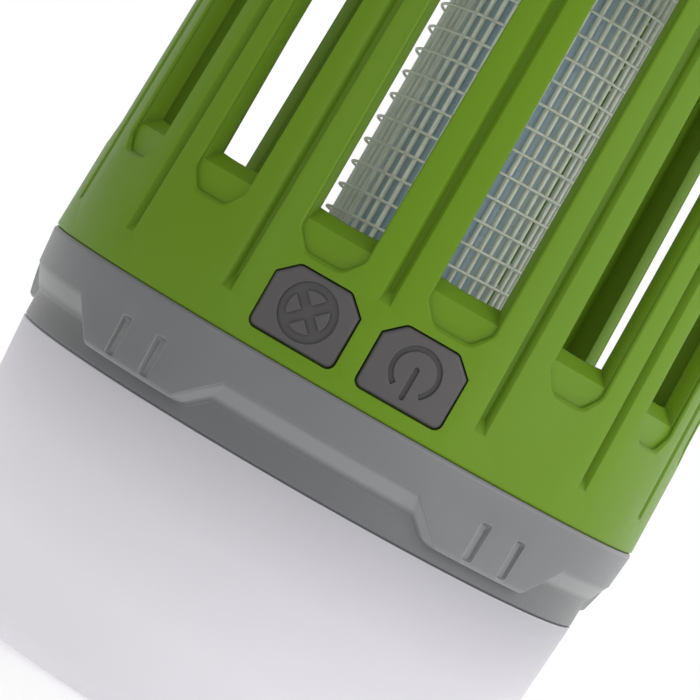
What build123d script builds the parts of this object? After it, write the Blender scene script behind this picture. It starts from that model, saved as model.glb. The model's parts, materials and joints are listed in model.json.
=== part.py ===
"""Rechargeable camping lantern with a bug zapper cage, as separate pieces.

Frame: millimetres, +Z from the lamp up to the cage and the hook. The origin is the centre of the lamp's
flat underside. The two buttons face -Y and the charging port faces +Y.
"""

import os
from math import atan, cos, degrees, radians, sin

from build123d import *

# ---------------------------------------------------------------- driving dimensions
# Levels above the lamp's underside
NECK_SEAM_Z = 35.6  # lamp meets collar
SHELF_Z = 42.5  # underside of the collar's inner shelf
SHELF_TOP_Z = 44.5
SEAM_Z = 48.0  # collar meets green housing
CAGE_TOP_Z = 122.0  # green housing meets top cap
CAP_TOP_Z = 136.0

# Green housing
SEAM_R = 44.1
CAGE_TAPER = 0.029  # radius lost per millimetre of height
WALL = 2.8
SLOTS = 15
SLOT_PITCH = 360 / SLOTS

# Collar and lamp
BAND_R = 41.9  # recessed lower band of the collar
TABS = 5
TAB_SHIFT = 2.2  # the tabs are turned a little from the buttons' plane
LAMP_R = 41.95
LAMP_TAPER = 0.072
LAMP_WALL = 1.8
LAMP_CORNER_R = 4.0
NECK_R = 40.35

# Grid and ultraviolet tube
DECK_Z = 66.6  # top face of the lower insulator
CROWN_Z = 116.0  # underside of the upper insulator
GRID_R = 13.2
GRID_WIRES = 48
GRID_WIRE_R = 0.35
HELIX_R = 14.2
HELIX_PITCH = 3.43
HELIX_WIRE_R = 0.2
TUBE_R = 10.6

# Buttons
BUTTON_X = 7.47
BUTTON_Z = SEAM_Z + 7.13
BUTTON_W = 11.85
BUTTON_H = 9.43
BUTTON_GAP = 0.16
BUTTON_TRAVEL = 0.5

# Battery cell
CELL_R = 9.2
CELL_L = 65.0
CELL_Y = 12.0
CELL_Z = 55.0

MAIN_BOARD_Z = 47.0
BOARD_T = 1.6

# Hook
HOOK_Z = 132.5
RECESS_Z = 129.5


def cage_r(z):
    """Outer radius of the green housing at height z."""
    return SEAM_R - CAGE_TAPER * (z - SEAM_Z)


def lamp_r(z):
    """Outer radius of the lamp at height z."""
    return LAMP_R - LAMP_TAPER * (NECK_SEAM_Z - z)


def around(radius, angle):
    """Point at an angle from -Y, positive towards +X."""
    return radius * sin(radians(angle)), -radius * cos(radians(angle))


def facing(angle, distance, height=0.0):
    """Plane facing outwards at an angle from -Y, with its own y axis upwards."""
    x, y = around(1, angle)
    return Plane(
        origin=(distance * x, distance * y, height),
        x_dir=(-y, x, 0),
        z_dir=(x, y, 0),
    )


def write(builder, label):
    """Label a finished piece and write its STEP file."""
    builder.part.label = label
    export_step(builder.part, f"parts/{label}.step")


def ring_sketch(height, outer, inner=0.0):
    """Disc or ring on a horizontal plane."""
    with BuildSketch(Plane.XY.offset(height)) as ring:
        Circle(outer)
        if inner:
            Circle(inner, mode=Mode.SUBTRACT)
    return ring.sketch


def holes_sketch(height, radius, points):
    """Round holes or posts at listed centres on a horizontal plane."""
    with BuildSketch(Plane.XY.offset(height)) as holes:
        with Locations(*points):
            Circle(radius)
    return holes.sketch


os.makedirs("parts", exist_ok=True)

# ---------------------------------------------------------------- fastener positions
COLLAR_SCREW_R = 37.2
COLLAR_SCREW_ANGLES = (-145, -65, 65, 145)
COLLAR_SCREWS = [around(COLLAR_SCREW_R, angle) for angle in COLLAR_SCREW_ANGLES]
REFLECTOR_SCREW_R = 36.2
REFLECTOR_SCREWS = [around(REFLECTOR_SCREW_R, angle) for angle in (0, 90, 180, 270)]
CAP_SCREW_R = 33.0
CAP_SCREWS = [around(CAP_SCREW_R, angle) for angle in (-75, 75, 180)]
BOSS_R = 3.0
SCREW_R = 1.1
HEAD_R = 2.1
HEAD_H = 1.5

# ---------------------------------------------------------------- green cage housing
# The wall leans in by the taper, so slots and grooves are cut on a plane that leans with it.
LEAN = degrees(atan(CAGE_TAPER))
SLOT_MID_Z = 89.5
POCKET_HALF = 28.0  # half height of the shallow pocket
SHOULDER_HALF = 25.6  # where the pocket reaches full width
FOLD_HALF = 24.3  # where the pocket floor turns in towards the opening
POCKET_FLAT = 2.6
POCKET_DEPTH = 0.9
POCKET_CORNER_R = 1.5
SLOT_LOW_W = 4.68  # half widths of the slot at the outer face
SLOT_HIGH_W = 4.98
SILL_SLOPE = 0.9
RIM_BEVEL = 0.5


def cage_plane(out):
    """Plane parallel to the front of the wall, a distance outwards from its surface."""
    surface_y = -cage_r(SLOT_MID_Z)
    normal_y, normal_z = -cos(radians(LEAN)), sin(radians(LEAN))
    return Plane(
        origin=(0, surface_y + out * normal_y, SLOT_MID_Z + out * normal_z),
        x_dir=(1, 0, 0),
        z_dir=(0, normal_y, normal_z),
    )


def pocket_sketch(out, grow=0.0):
    """Long octagon with rounded corners: the shallow pocket around a slot."""
    with BuildSketch(cage_plane(out)) as pocket:
        with BuildLine():
            Polyline(
                (-POCKET_FLAT, -POCKET_HALF),
                (POCKET_FLAT, -POCKET_HALF),
                (SLOT_LOW_W, -SHOULDER_HALF),
                (SLOT_HIGH_W, SHOULDER_HALF),
                (POCKET_FLAT, POCKET_HALF),
                (-POCKET_FLAT, POCKET_HALF),
                (-SLOT_HIGH_W, SHOULDER_HALF),
                (-SLOT_LOW_W, -SHOULDER_HALF),
                close=True,
            )
        make_face()
        fillet(pocket.vertices(), radius=POCKET_CORNER_R)
        if grow:
            offset(amount=grow)
    return pocket.sketch


def slot_sketch(depth):
    """Slot outline at a depth below the surface: walls are radial and the sills slope inwards."""
    scale = (cage_r(SLOT_MID_Z) - depth) / cage_r(SLOT_MID_Z)
    half = FOLD_HALF - SILL_SLOPE * (depth - POCKET_DEPTH)
    with BuildSketch(cage_plane(-depth)) as slot:
        with BuildLine():
            Polyline(
                (-SLOT_LOW_W * scale, -half),
                (SLOT_LOW_W * scale, -half),
                (SLOT_HIGH_W * scale, half),
                (-SLOT_HIGH_W * scale, half),
                close=True,
            )
        make_face()
    return slot.sketch


GROOVE_DEPTH = 1.2
GROOVE_FLANK = 0.5  # sideways run of a groove flank per millimetre of depth
GROOVE_RAMP = 1.7  # lengthwise run of a groove's end ramp per millimetre of depth
GROOVE_TOP = 30.5
LONG_GROOVE_END = -36.8
SHORT_GROOVE_END = -28.8


def groove_sketch(depth, low_end):
    """Groove outline at a depth below the bar's surface."""
    low_w = 0.85 - GROOVE_FLANK * depth
    high_w = 1.1 - GROOVE_FLANK * depth
    run = GROOVE_RAMP * depth
    with BuildSketch(cage_plane(-depth)) as groove:
        with BuildLine():
            Polyline(
                (-low_w, low_end + run),
                (low_w, low_end + run),
                (high_w, GROOVE_TOP - run),
                (-high_w, GROOVE_TOP - run),
                close=True,
            )
        make_face()
    return groove.sketch


with BuildPart() as slot_cutter:
    extrude(pocket_sketch(-POCKET_DEPTH), amount=POCKET_DEPTH + 2)
    loft([pocket_sketch(-RIM_BEVEL).face(), pocket_sketch(0.6, RIM_BEVEL + 0.6).face()], ruled=True)
    loft([slot_sketch(-2.0).face(), slot_sketch(6.0).face()], ruled=True)

with BuildPart() as long_groove_cutter:
    loft(
        [groove_sketch(GROOVE_DEPTH, LONG_GROOVE_END).face(), groove_sketch(-0.6, LONG_GROOVE_END).face()],
        ruled=True,
    )

with BuildPart() as short_groove_cutter:
    loft(
        [groove_sketch(GROOVE_DEPTH, SHORT_GROOVE_END).face(), groove_sketch(-0.6, SHORT_GROOVE_END).face()],
        ruled=True,
    )

# Ledge that the lower insulator rests on
LEDGE_Z = 64.45
LEDGE_R = 38.9

# Ribs on the inside of the bars
RIB_T = 1.4
RIB_IN_R = 37.6
RIB_OUT_R = 40.9  # inside the wall at every height
RIB_LOW_Z = DECK_Z + 0.4
RIB_HIGH_Z = CROWN_Z - 0.4

# Inner pad that gives the buttons a flat back wall
PAD_Y = -38.2
PAD_HALF_W = 16.4
PAD_LOW_Z = SEAM_Z + 0.6
PAD_HIGH_Z = SEAM_Z + 14.2
GUIDE_FRONT_Y = PAD_Y + 1.6
SWITCH_SCREW_POINTS = [(0, SEAM_Z + 3.4), (0, SEAM_Z + 12.2)]

# Charging port at the back
PORT_Z = 55.0
PORT_W = 9.2
PORT_H = 4.4
FLAP_W = 14.0
FLAP_H = 9.0
FLAP_FLOOR_Y = 42.3
FLAP_GAP = 0.3


def button_sketch(plane, side, grow=0.0):
    """Button outline: two cut corners above, two rounded corners below."""
    half_w, half_h = BUTTON_W / 2, BUTTON_H / 2
    with BuildSketch(plane) as outline:
        with BuildLine():
            Polyline(
                (-half_w, -half_h),
                (half_w, -half_h),
                (half_w, half_h - 2.2),
                (half_w - 2.38, half_h),
                (-half_w + 2.38, half_h),
                (-half_w, half_h - 2.2),
                close=True,
            )
        make_face()
        fillet(outline.vertices().group_by(Axis.Y)[0], radius=1.0)
        fillet(outline.vertices().group_by(Axis.Y)[-1], radius=1.1)
        if grow:
            offset(amount=grow)
    return outline.sketch.moved(Location((side * BUTTON_X, 0, BUTTON_Z)))


with BuildPart() as cage_housing:
    with BuildSketch(Plane.XZ):
        with BuildLine():
            Polyline(
                (SEAM_R - 0.25, SEAM_Z + 0.08),
                (SEAM_R, SEAM_Z + 0.35),
                (cage_r(CAGE_TOP_Z - 0.4), CAGE_TOP_Z - 0.4),
                (cage_r(CAGE_TOP_Z) - 0.4, CAGE_TOP_Z),
                (36.9, CAGE_TOP_Z),
                (36.9, CAGE_TOP_Z - 3.4),
                (cage_r(CAGE_TOP_Z - 3.4) - WALL, CAGE_TOP_Z - 3.4),
                (cage_r(LEDGE_Z) - WALL, LEDGE_Z),
                (LEDGE_R, LEDGE_Z),
                (LEDGE_R, LEDGE_Z - 0.8),
                (cage_r(LEDGE_Z - 3) - WALL, LEDGE_Z - 3),
                (SEAM_R - WALL, SEAM_Z + 0.08),
                close=True,
            )
        make_face()
    revolve(axis=Axis.Z)
    # Pad behind the buttons, bosses for the collar screws
    with BuildSketch(Plane.XY.offset(PAD_LOW_Z)):
        Circle(SEAM_R - WALL / 2)
        with Locations((0, PAD_Y + 50)):
            Rectangle(100, 100, mode=Mode.SUBTRACT)
        with Locations((0, -40)):
            Rectangle(2 * PAD_HALF_W, 10, mode=Mode.INTERSECT)
    extrude(amount=PAD_HIGH_Z - PAD_LOW_Z)
    with BuildSketch(Plane.XY.offset(SEAM_Z + 0.08)):
        for angle in COLLAR_SCREW_ANGLES:
            with Locations(around(COLLAR_SCREW_R, angle)):
                Circle(BOSS_R)
            with Locations(Location((*around(COLLAR_SCREW_R + 2.4, angle), 0), (0, 0, 1), angle)):
                Rectangle(3.2, 4.2)
    extrude(amount=12.0)
    add(holes_sketch(SEAM_Z + 0.08, SCREW_R, COLLAR_SCREWS))
    extrude(amount=10.0, mode=Mode.SUBTRACT)
    # Stiffening ribs behind the bars
    with BuildSketch(Plane.XY.offset(RIB_LOW_Z)):
        with PolarLocations((RIB_IN_R + RIB_OUT_R) / 2, SLOTS, start_angle=-90):
            Rectangle(RIB_OUT_R - RIB_IN_R, RIB_T)
    extrude(amount=RIB_HIGH_Z - RIB_LOW_Z)
    # Slots and grooves
    with PolarLocations(0, SLOTS, start_angle=SLOT_PITCH / 2):
        add(slot_cutter.part, mode=Mode.SUBTRACT)
    groove_span = 360 - 2 * SLOT_PITCH
    with PolarLocations(0, SLOTS - 1, start_angle=SLOT_PITCH, angular_range=groove_span, endpoint=True):
        add(long_groove_cutter.part, mode=Mode.SUBTRACT)
    add(short_groove_cutter.part, mode=Mode.SUBTRACT)
    # Button openings and the posts for the button guide
    for side in (-1, 1):
        extrude(button_sketch(Plane.XZ, side, BUTTON_GAP), amount=50, mode=Mode.SUBTRACT)
    with BuildSketch(Plane.XZ.offset(-GUIDE_FRONT_Y)):
        with Locations(*SWITCH_SCREW_POINTS):
            Circle(1.35)
    extrude(amount=3.0)
    with BuildSketch(Plane.XZ.offset(-GUIDE_FRONT_Y)):
        with Locations(*SWITCH_SCREW_POINTS):
            Circle(0.8)
    extrude(amount=4.5, mode=Mode.SUBTRACT)
    # Charging port: shallow seat for the flap and a through opening
    with BuildSketch(facing(180, FLAP_FLOOR_Y, PORT_Z)):
        RectangleRounded(FLAP_W + 2 * FLAP_GAP, FLAP_H + 2 * FLAP_GAP, 2.0)
    extrude(amount=5, mode=Mode.SUBTRACT)
    with BuildSketch(facing(180, 38, PORT_Z)):
        RectangleRounded(PORT_W, PORT_H, 1.4)
    extrude(amount=8, mode=Mode.SUBTRACT)

# ---------------------------------------------------------------- collar ring
BEVEL_TOP_Z = SEAM_Z - 5.2
BEVEL_LOW_Z = SEAM_Z - 8.1
TAB_LOW_Z = SEAM_Z - 10.4
SPIGOT_R = 41.15
SPIGOT_TOP_Z = 50.0
SEAL_R = 42.4  # middle of the seal ring in the collar's top face
SEAL_HALF_W = 0.45
SEAL_LOW_Z = SEAM_Z - 0.6


def tab_sketch(distance, low_w, high_w):
    """Tab outline on a plane at a distance from the axis."""
    with BuildSketch(facing(0, distance)) as tab:
        with BuildLine():
            Polyline(
                (-low_w, TAB_LOW_Z),
                (low_w, TAB_LOW_Z),
                (high_w, BEVEL_TOP_Z),
                (high_w, BEVEL_TOP_Z + 2),
                (-high_w, BEVEL_TOP_Z + 2),
                (-high_w, BEVEL_TOP_Z),
                close=True,
            )
        make_face()
        fillet(tab.vertices().group_by(Axis.Y)[1], radius=3.0)
        fillet(tab.vertices().group_by(Axis.Y)[0], radius=1.6)
    return tab.sketch


with BuildPart() as collar_tab:
    loft([tab_sketch(45, 5.9, 10.6).face(), tab_sketch(40, 10.2, 14.9).face()], ruled=True)
    with BuildSketch(Plane.XZ):
        with BuildLine():
            Polyline(
                (41.2, TAB_LOW_Z - 1),
                (43.2, TAB_LOW_Z),
                (43.62, TAB_LOW_Z + 0.45),
                (43.75, BEVEL_TOP_Z),
                (43.0, BEVEL_TOP_Z + 1.5),
                (41.2, BEVEL_TOP_Z + 1.5),
                close=True,
            )
        make_face()
    revolve(axis=Axis.Z, mode=Mode.INTERSECT)

TAB_GROOVE_X = 3.15
TAB_GROOVE_W = 1.5
with BuildPart() as tab_groove_cutter:
    for x in (-TAB_GROOVE_X, TAB_GROOVE_X):
        sections = []
        for distance, grow in ((42.85, -0.25), (44.4, 0.5)):
            with BuildSketch(facing(0, distance)) as section:
                with Locations((x, SEAM_Z - 7.25)):
                    RectangleRounded(TAB_GROOVE_W + 2 * grow, 5.2 + 2 * grow, 0.35)
            sections.append(section.sketch.face())
        loft(sections, ruled=True)

with BuildPart() as collar_ring:
    with BuildSketch(Plane.XZ):
        with BuildLine():
            Polyline(
                (34.0, SHELF_Z),
                (40.5, SHELF_Z),
                (40.5, NECK_SEAM_Z + 0.05),
                (BAND_R - 0.25, NECK_SEAM_Z + 0.05),
                (BAND_R, NECK_SEAM_Z + 0.4),
                (BAND_R + 0.05, BEVEL_LOW_Z - 0.3),
                (BAND_R + 0.35, BEVEL_LOW_Z),
                (43.6, BEVEL_TOP_Z - 0.2),
                (43.75, BEVEL_TOP_Z),
                (44.2, SEAM_Z - 0.4),
                (43.95, SEAM_Z),
                (SEAL_R + SEAL_HALF_W + 0.05, SEAM_Z),
                (SEAL_R + SEAL_HALF_W + 0.05, SEAL_LOW_Z),
                (SEAL_R - SEAL_HALF_W - 0.05, SEAL_LOW_Z),
                (SEAL_R - SEAL_HALF_W - 0.05, SEAM_Z),
                (SPIGOT_R, SEAM_Z),
                (SPIGOT_R, SPIGOT_TOP_Z),
                (39.4, SPIGOT_TOP_Z),
                (39.4, SHELF_TOP_Z),
                (34.0, SHELF_TOP_Z),
                close=True,
            )
        make_face()
    revolve(axis=Axis.Z)
    with PolarLocations(0, TABS, start_angle=TAB_SHIFT + 36):
        add(collar_tab.part)
    with PolarLocations(0, TABS, start_angle=TAB_SHIFT + 36):
        add(tab_groove_cutter.part, mode=Mode.SUBTRACT)
    # Room in the spigot for the pad, the bosses and the charging socket
    with BuildSketch(Plane.XY.offset(SEAM_Z)):
        with Locations((0, -40)):
            Rectangle(2 * PAD_HALF_W + 2, 8)
        with Locations(*COLLAR_SCREWS):
            Circle(BOSS_R + 1.9)
        with Locations((0, 40)):
            Rectangle(FLAP_W + 4, 6)
    extrude(amount=4, mode=Mode.SUBTRACT)
    add(holes_sketch(SHELF_TOP_Z, BOSS_R, COLLAR_SCREWS))
    extrude(amount=SEAM_Z - SHELF_TOP_Z)
    add(holes_sketch(SHELF_TOP_Z, 2.4, REFLECTOR_SCREWS))
    extrude(amount=2.6)
    add(holes_sketch(SHELF_Z, SCREW_R + 0.15, COLLAR_SCREWS))
    extrude(amount=20, mode=Mode.SUBTRACT)
    add(holes_sketch(SHELF_Z, HEAD_R + 0.2, COLLAR_SCREWS))
    extrude(amount=HEAD_H + 0.1, mode=Mode.SUBTRACT)
    add(holes_sketch(SHELF_Z, 0.8, REFLECTOR_SCREWS))
    extrude(amount=4.2, mode=Mode.SUBTRACT)

with BuildPart() as collar_gasket:
    extrude(ring_sketch(SEAL_LOW_Z, SEAL_R + SEAL_HALF_W, SEAL_R - SEAL_HALF_W), amount=0.66)

# ---------------------------------------------------------------- lamp
NECK_TOP_Z = 41.9
NECK_WALL = 2.0
with BuildPart() as lamp_diffuser:
    with BuildSketch(Plane.XZ) as profile:
        with BuildLine():
            Polyline(
                (0, 0),
                (lamp_r(0), 0),
                (LAMP_R, NECK_SEAM_Z),
                (NECK_R, NECK_SEAM_Z),
                (NECK_R, NECK_TOP_Z),
                (NECK_R - NECK_WALL, NECK_TOP_Z),
                (NECK_R - NECK_WALL, 34.0),
                (lamp_r(31.0) - LAMP_WALL, 31.0),
                (lamp_r(LAMP_WALL) - LAMP_WALL, LAMP_WALL),
                (0, LAMP_WALL),
                close=True,
            )
        make_face()
        fillet(profile.vertices().sort_by_distance((lamp_r(0), 0, 0))[0], radius=LAMP_CORNER_R)
        inner_corner = profile.vertices().sort_by_distance((lamp_r(0) - LAMP_WALL, LAMP_WALL, 0))[0]
        fillet(inner_corner, radius=LAMP_CORNER_R - LAMP_WALL)
    revolve(axis=Axis.Z)

with BuildPart() as diffuser_gasket:
    extrude(ring_sketch(NECK_TOP_Z + 0.05, 40.3, 38.6), amount=0.5)

PLATE_T = 1.4
LED_BOARD_T = 1.1
PLATE_LOW_Z = SHELF_Z - PLATE_T
LED_BOARD_LOW_Z = PLATE_LOW_Z - LED_BOARD_T
LEAD_HOLE = (8.0, -12.0)
LEAD_HOLE_R = 2.2
with BuildPart() as reflector_plate:
    extrude(ring_sketch(PLATE_LOW_Z, NECK_R - NECK_WALL - 0.2), amount=PLATE_T)
    fillet(reflector_plate.edges().group_by(Axis.Z)[0], radius=0.5)
    extrude(holes_sketch(PLATE_LOW_Z, 1.0, REFLECTOR_SCREWS), amount=PLATE_T, mode=Mode.SUBTRACT)
    extrude(holes_sketch(PLATE_LOW_Z, LEAD_HOLE_R, [LEAD_HOLE]), amount=PLATE_T, mode=Mode.SUBTRACT)

with BuildPart() as lamp_led_board:
    extrude(ring_sketch(LED_BOARD_LOW_Z, 30.0), amount=LED_BOARD_T)
    rivets = [(0, 17), (0, -17)]
    extrude(holes_sketch(LED_BOARD_LOW_Z, 1.0, rivets), amount=LED_BOARD_T, mode=Mode.SUBTRACT)

with BuildPart() as lamp_leds:
    for led_radius, count in ((24.0, 16), (12.0, 8)):
        with BuildSketch(Plane.XY.offset(LED_BOARD_LOW_Z - 0.8)):
            with PolarLocations(led_radius, count):
                RectangleRounded(2.8, 3.5, 0.3)
        extrude(amount=0.8)


def screws(points, under_head_z, length, shank_r=SCREW_R, head_r=HEAD_R, head_down=True):
    """Cross-head screws along Z, with the head below (head_down) or above the clamping face."""
    drop = -1 if head_down else 1
    with BuildPart() as group:
        with BuildSketch(Plane.XY.offset(under_head_z)):
            with Locations(*points):
                Circle(head_r)
        extrude(amount=drop * HEAD_H)
        fillet(group.faces().sort_by(Axis.Z)[0 if head_down else -1].edges(), radius=0.4)
        with BuildSketch(Plane.XY.offset(under_head_z)):
            with Locations(*points):
                Circle(shank_r)
        extrude(amount=-drop * length)
        with BuildSketch(Plane.XY.offset(under_head_z + drop * HEAD_H)):
            with Locations(*points):
                Rectangle(head_r * 1.15, head_r * 0.26)
                Rectangle(head_r * 0.26, head_r * 1.15)
        extrude(amount=-drop * 0.7, mode=Mode.SUBTRACT)
    return group


reflector_screws = screws(REFLECTOR_SCREWS, PLATE_LOW_Z, 5.2, shank_r=0.8, head_r=1.7)
collar_screws = screws(COLLAR_SCREWS, SHELF_Z + HEAD_H + 0.1, 12.5)

write(cage_housing, "cage_housing")
write(collar_ring, "collar_ring")
write(collar_gasket, "collar_gasket")
write(lamp_diffuser, "lamp_diffuser")
write(diffuser_gasket, "diffuser_gasket")
write(reflector_plate, "reflector_plate")
write(lamp_led_board, "lamp_led_board")
write(lamp_leds, "lamp_leds")
write(reflector_screws, "reflector_screws")
write(collar_screws, "collar_screws")

# ---------------------------------------------------------------- buttons and their switches
CAP_FACE_R = cage_r(BUTTON_Z) - 0.05
FLANGE_T = 0.8
FLANGE_Y = PAD_Y + 0.1
STEM_R = 1.5
STEM_END_Y = GUIDE_FRONT_Y + 1.3
ICON_DEPTH = 0.3
ICON_Y = -46.0
ZAP_DISC_R = 3.85
ZAP_QUADRANT_R = 2.7
ZAP_CROSS_W = 1.4
POWER_RING_R = 3.35
POWER_LINE_W = 0.75
POWER_BAR_L = 4.5


def icon_cutter(sketch):
    """Engraving of even depth: the icon's prism with the button's own cylinder taken out."""
    with BuildPart() as cutter:
        extrude(sketch, amount=-8)
        with BuildSketch(Plane.XY.offset(BUTTON_Z - 10)):
            Circle(CAP_FACE_R - ICON_DEPTH)
        extrude(amount=20, mode=Mode.SUBTRACT)
    return cutter.part


def zap_icon():
    """Sunken disc with four raised quadrants, left standing by a diagonal cross."""
    with BuildSketch(Plane.XZ.offset(-ICON_Y)) as quadrants:
        with Locations((-BUTTON_X, BUTTON_Z)):
            Circle(ZAP_QUADRANT_R)
            Rectangle(ZAP_CROSS_W, 8, rotation=45, mode=Mode.SUBTRACT)
            Rectangle(ZAP_CROSS_W, 8, rotation=-45, mode=Mode.SUBTRACT)
    with BuildSketch(Plane.XZ.offset(-ICON_Y)) as icon:
        with Locations((-BUTTON_X, BUTTON_Z)):
            Circle(ZAP_DISC_R)
        add(quadrants.sketch_local, mode=Mode.SUBTRACT)
    return icon.sketch


def power_icon():
    """Open ring with a bar, the standard power sign, opening towards the lamp."""
    centre_z = BUTTON_Z + 0.17
    with BuildSketch(Plane.XZ.offset(-ICON_Y)) as icon:
        with Locations((BUTTON_X, centre_z)):
            Circle(POWER_RING_R)
            Circle(POWER_RING_R - POWER_LINE_W, mode=Mode.SUBTRACT)
        with BuildLine(mode=Mode.PRIVATE) as wedge:
            Polyline(
                (BUTTON_X, centre_z),
                (BUTTON_X - 4.2, centre_z - 5.8),
                (BUTTON_X + 4.2, centre_z - 5.8),
                close=True,
            )
        make_face(wedge.edges(), mode=Mode.SUBTRACT)
        with Locations((BUTTON_X, BUTTON_Z - 1.36)):
            SlotOverall(POWER_BAR_L, POWER_LINE_W, rotation=90)
    return icon.sketch


def button(side, icon):
    """Button cap with a retaining flange behind the wall and a round stem."""
    with BuildPart() as cap:
        extrude(button_sketch(Plane.XZ.offset(-FLANGE_Y), side), amount=8)
        with BuildSketch(Plane.XY.offset(BUTTON_Z - 10)):
            Circle(CAP_FACE_R)
        extrude(amount=20, mode=Mode.INTERSECT)
        fillet(cap.faces().filter_by(GeomType.CYLINDER).sort_by(SortBy.AREA)[-1].edges(), radius=0.5)
        flange_inner = BUTTON_X - BUTTON_W / 2
        flange_outer = BUTTON_X + BUTTON_W / 2 + 0.6
        with BuildSketch(Plane.XZ.offset(-FLANGE_Y - FLANGE_T)):
            with Locations((side * (flange_inner + flange_outer) / 2, BUTTON_Z)):
                RectangleRounded(flange_outer - flange_inner, BUTTON_H + 1.6, 1.0)
        extrude(amount=FLANGE_T)
        with BuildSketch(Plane.XZ.offset(-STEM_END_Y)):
            with Locations((side * BUTTON_X, BUTTON_Z)):
                Circle(STEM_R)
        extrude(amount=STEM_END_Y - FLANGE_Y)
        add(icon_cutter(icon), mode=Mode.SUBTRACT)
    return cap


zap_button = button(-1, zap_icon())
lamp_button = button(1, power_icon())
write(zap_button, "zap_button")
write(lamp_button, "lamp_button")

GUIDE_T = 1.2
SWITCH_FRONT_Y = STEM_END_Y + 0.9
SWITCH_T = 3.0
SWITCH_BOARD_Y = SWITCH_FRONT_Y + SWITCH_T
SWITCH_BOARD_T = 1.2
PLUNGER_R = 1.2
SEAL_POCKET_R = 2.5
BUTTON_POINTS = [(-BUTTON_X, BUTTON_Z), (BUTTON_X, BUTTON_Z)]


def front_prism(back_y, points, radius):
    """Round sketch facing -Y, drawn at a depth back_y."""
    with BuildSketch(Plane.XZ.offset(-back_y)) as prism:
        with Locations(*points):
            Circle(radius)
    return prism.sketch


with BuildPart() as button_guide:
    with BuildSketch(Plane.XZ.offset(-GUIDE_FRONT_Y - GUIDE_T)):
        with Locations((0, SEAM_Z + 7.8)):
            RectangleRounded(31.0, 12.0, 1.0)
    extrude(amount=GUIDE_T)
    extrude(front_prism(SWITCH_BOARD_Y, SWITCH_SCREW_POINTS, 1.7), amount=SWITCH_BOARD_Y - GUIDE_FRONT_Y)
    extrude(front_prism(SWITCH_BOARD_Y, SWITCH_SCREW_POINTS, 0.9), amount=8, mode=Mode.SUBTRACT)
    extrude(front_prism(SWITCH_BOARD_Y, BUTTON_POINTS, STEM_R + 0.06), amount=8, mode=Mode.SUBTRACT)
    extrude(
        front_prism(GUIDE_FRONT_Y + GUIDE_T, BUTTON_POINTS, SEAL_POCKET_R),
        amount=0.75,
        mode=Mode.SUBTRACT,
    )

with BuildPart() as button_seals:
    for x, z in BUTTON_POINTS:
        with BuildSketch(Plane.XY.offset(z)):
            with Locations((x + STEM_R + 0.45, GUIDE_FRONT_Y + GUIDE_T - 0.37)):
                Circle(0.36)
        revolve(axis=Axis((x, 0, z), (0, 1, 0)))

with BuildPart() as tact_switches:
    with BuildSketch(Plane.XZ.offset(-SWITCH_BOARD_Y)):
        with Locations(*BUTTON_POINTS):
            RectangleRounded(6.0, 6.0, 0.4)
    extrude(amount=SWITCH_T)
    extrude(front_prism(SWITCH_BOARD_Y - 1.0, BUTTON_POINTS, PLUNGER_R + 0.08), amount=3, mode=Mode.SUBTRACT)


def plunger(side):
    """Round actuator of one push switch."""
    front_y = STEM_END_Y + 0.02
    back_y = SWITCH_BOARD_Y - 1.0 - BUTTON_TRAVEL - 0.1
    with BuildPart() as actuator:
        extrude(front_prism(back_y, [(side * BUTTON_X, BUTTON_Z)], PLUNGER_R), amount=back_y - front_y)
        chamfer(actuator.faces().sort_by(Axis.Y)[0].edges(), length=0.15)
    return actuator


zap_plunger = plunger(-1)
lamp_plunger = plunger(1)

with BuildPart() as switch_board:
    with BuildSketch(Plane.XZ.offset(-SWITCH_BOARD_Y)):
        with Locations((0, SEAM_Z + 7.5)):
            RectangleRounded(29.0, 12.0, 1.0)
        with Locations(*SWITCH_SCREW_POINTS):
            Circle(0.9, mode=Mode.SUBTRACT)
    extrude(amount=-SWITCH_BOARD_T)

with BuildPart() as switch_screws:
    head_y = SWITCH_BOARD_Y + SWITCH_BOARD_T
    extrude(front_prism(head_y + HEAD_H - 0.5, SWITCH_SCREW_POINTS, 1.6), amount=HEAD_H - 0.5)
    extrude(front_prism(head_y, SWITCH_SCREW_POINTS, 0.8), amount=8.6)

write(button_guide, "button_guide")
write(button_seals, "button_seals")
write(tact_switches, "tact_switches")
write(zap_plunger, "zap_plunger")
write(lamp_plunger, "lamp_plunger")
write(switch_board, "switch_board")
write(switch_screws, "switch_screws")

# ---------------------------------------------------------------- charging port
FLAP_FACE_R = cage_r(PORT_Z) - 0.05
FLAP_Y = FLAP_FLOOR_Y + 0.05
BEAD_R = 0.75  # round bead along the flap's lower edge; the flap turns about its axis
BEAD_W = 9.0
BEAD_Y = FLAP_Y + BEAD_R + 0.03
BEAD_Z = PORT_Z - FLAP_H / 2 + BEAD_R
with BuildPart() as port_cover:
    with BuildSketch(facing(180, FLAP_Y, PORT_Z + BEAD_R / 2)):
        RectangleRounded(FLAP_W, FLAP_H - BEAD_R, 1.8)
    extrude(amount=4)
    with BuildSketch(Plane.XY.offset(PORT_Z - 10)):
        Circle(FLAP_FACE_R)
    extrude(amount=20, mode=Mode.INTERSECT)
    fillet(port_cover.faces().filter_by(GeomType.CYLINDER).sort_by(SortBy.AREA)[-1].edges(), radius=0.25)
    with BuildSketch(facing(180, FLAP_Y - 0.85, PORT_Z)):
        RectangleRounded(PORT_W - 0.9, PORT_H - 0.9, 0.9)
    extrude(amount=1.2)
    with BuildSketch(facing(180, FLAP_Y + 0.5, PORT_Z + FLAP_H / 2 - 1.3)):
        RectangleRounded(5.0, 1.0, 0.45)
    extrude(amount=1.75)
    with BuildSketch(Plane.YZ.offset(-BEAD_W / 2)):
        with Locations((BEAD_Y, BEAD_Z)):
            Circle(BEAD_R)
    extrude(amount=BEAD_W)

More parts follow.
